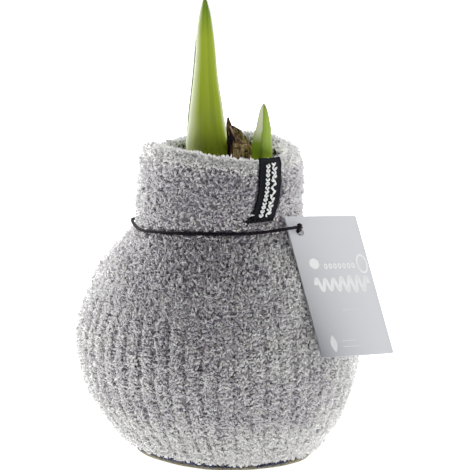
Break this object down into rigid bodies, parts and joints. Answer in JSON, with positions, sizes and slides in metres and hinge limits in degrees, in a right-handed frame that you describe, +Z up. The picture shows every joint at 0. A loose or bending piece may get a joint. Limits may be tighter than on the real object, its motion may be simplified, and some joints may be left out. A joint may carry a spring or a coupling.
{
  "type": "amaryllis bulb in a knit cover",
  "caption": "Forced amaryllis bulb with young green shoots, dressed in a ribbed knit cover with a rolled collar, a cord and a hang tag; stands on its flat sole.",
  "frame": {"origin": "centre of the underside of the round sole that the bulb stands on", "axes": "+Z up towards the shoots; -Y is the front, where the woven label and the hang tag are seen; +X is to the right seen from the front"},
  "size_m": [0.1259, 0.1126, 0.184],
  "materials": {
    "knit": "soft chenille rib knit, mottled grey",
    "sole": "pressed felt, olive grey",
    "tunic": "dry papery bulb scales, brown",
    "leaf": "smooth young leaf with a waxy sheen, yellow green",
    "label": "woven black ribbon with a pale woven ornament",
    "cord": "thin waxed cord, dark purple black",
    "card": "smooth coated card, light silver grey"
  },
  "bodies": {
    "root": {"sole": "sole", "knit_cover": "knit", "bulb": "tunic", "tall_leaf_front": "leaf", "tall_leaf_back": "leaf", "short_leaf": "leaf", "woven_label": "label", "neck_cord": "cord", "hang_tag": "card"}
  },
  "joints": []
}
